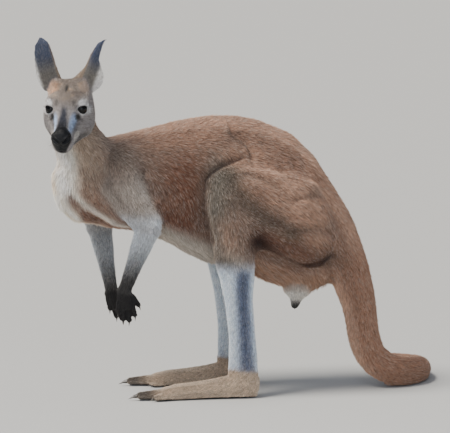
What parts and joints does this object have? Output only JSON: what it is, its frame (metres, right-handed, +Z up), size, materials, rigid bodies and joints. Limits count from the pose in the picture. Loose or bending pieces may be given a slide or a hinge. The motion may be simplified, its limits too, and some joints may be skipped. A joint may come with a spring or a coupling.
{
  "type": "red kangaroo",
  "caption": "Life-size standing red kangaroo, crouched on its hind feet and tail, arms hanging, ears raised, head turned to its left.",
  "frame": {"origin": "on the floor under the middle of the animal's box", "axes": "+Z up, the animal's body faces -Y, +X is its left; its head is turned to +X"},
  "size_m": [0.701, 1.0806, 0.9376],
  "materials": {
    "body_coat": "grizzled red-brown fur",
    "tail_coat": "short tan-red fur",
    "throat": "buff fur, paler in front",
    "face": "short grey fur with a bare black nose pad",
    "ear": "very short blue-grey fur, pale at the rim",
    "forearm": "short blue-grey fur",
    "shank": "short pale grey fur",
    "foot": "short tan-grey fur, dark toes",
    "hand": "short black fur",
    "pale_skin": "thinly furred pale skin",
    "claw": "dark horn",
    "eye": "wet and glossy, very dark brown"
  },
  "bodies": {
    "root": {"head": "face", "ear_left": "ear", "ear_right": "ear", "eye_left": "eye", "eye_right": "eye", "neck": "throat", "trunk": "body_coat", "scrotum": "pale_skin", "tail_root": "tail_coat", "tail_end": "tail_coat", "arm_left": "body_coat", "arm_right": "body_coat", "forearm_left": "forearm", "forearm_right": "forearm", "hand_left": "hand", "hand_right": "hand", "thigh_left": "body_coat", "thigh_right": "body_coat", "shank_left": "shank", "shank_right": "shank", "foot_left": "foot", "foot_right": "foot", "claw_left_hand_first": "claw", "claw_left_hand_second": "claw", "claw_left_hand_third": "claw", "claw_left_hand_fourth": "claw", "claw_left_hand_fifth": "claw", "claw_right_hand_first": "claw", "claw_right_hand_second": "claw", "claw_right_hand_third": "claw", "claw_right_hand_fourth": "claw", "claw_right_hand_fifth": "claw", "claw_left_foot_second": "claw", "claw_left_foot_third": "claw", "claw_left_foot_fourth": "claw", "claw_left_foot_fifth": "claw", "claw_right_foot_second": "claw", "claw_right_foot_third": "claw", "claw_right_foot_fourth": "claw", "claw_right_foot_fifth": "claw"}
  },
  "joints": []
}
